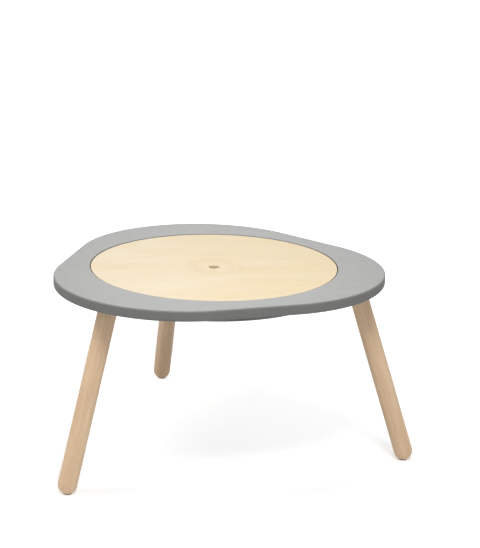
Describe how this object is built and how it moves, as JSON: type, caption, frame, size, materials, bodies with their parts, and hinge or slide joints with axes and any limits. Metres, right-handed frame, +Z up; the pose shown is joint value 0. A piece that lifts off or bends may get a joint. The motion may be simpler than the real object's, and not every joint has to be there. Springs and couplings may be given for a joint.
{
  "type": "kids table with storage",
  "caption": "Low children's play table: a three-lobed ring top on splayed wooden legs, with a round board that lifts out over a shallow storage tub.",
  "frame": {"origin": "on the play board's axis, in the plane of the ring's top face; the floor is 0.45 m below it", "axes": "+Z up, square to the table top; +Y towards the rear leg, so the front edge of the ring faces -Y; +X to the right seen from the front"},
  "size_m": [0.873, 0.86, 0.45],
  "materials": {
    "lacquered_ring": "satin grey lacquer over a routed board",
    "birch_plywood": "birch plywood, clear matt lacquer, bare ply edge",
    "beech": "turned solid beech, clear matt lacquer",
    "tub_plastic": "moulded, fine matt grain",
    "socket_nylon": "moulded glass-filled nylon",
    "insert_brass": "turned",
    "zinc_steel": "bright zinc plated",
    "glide_nylon": "moulded nylon"
  },
  "bodies": {
    "table": {"ring_top": "lacquered_ring", "storage_tub": "tub_plastic", "tub_screws": "zinc_steel", "leg_rear": "beech", "leg_left": "beech", "leg_right": "beech", "leg_socket_rear": "socket_nylon", "leg_socket_left": "socket_nylon", "leg_socket_right": "socket_nylon", "threaded_insert_rear": "insert_brass", "threaded_insert_left": "insert_brass", "threaded_insert_right": "insert_brass", "hanger_bolt_rear": "zinc_steel", "hanger_bolt_left": "zinc_steel", "hanger_bolt_right": "zinc_steel", "socket_screws_rear": "zinc_steel", "socket_screws_left": "zinc_steel", "socket_screws_right": "zinc_steel", "foot_glide_rear": "glide_nylon", "foot_glide_left": "glide_nylon", "foot_glide_right": "glide_nylon"},
    "board": {"play_board": "birch_plywood"}
  },
  "joints": [
    {"name": "board_lift", "type": "slide", "parent": "table", "child": "board", "axis": [0, 0, 1], "range_m": [0, 0.15]}
  ]
}
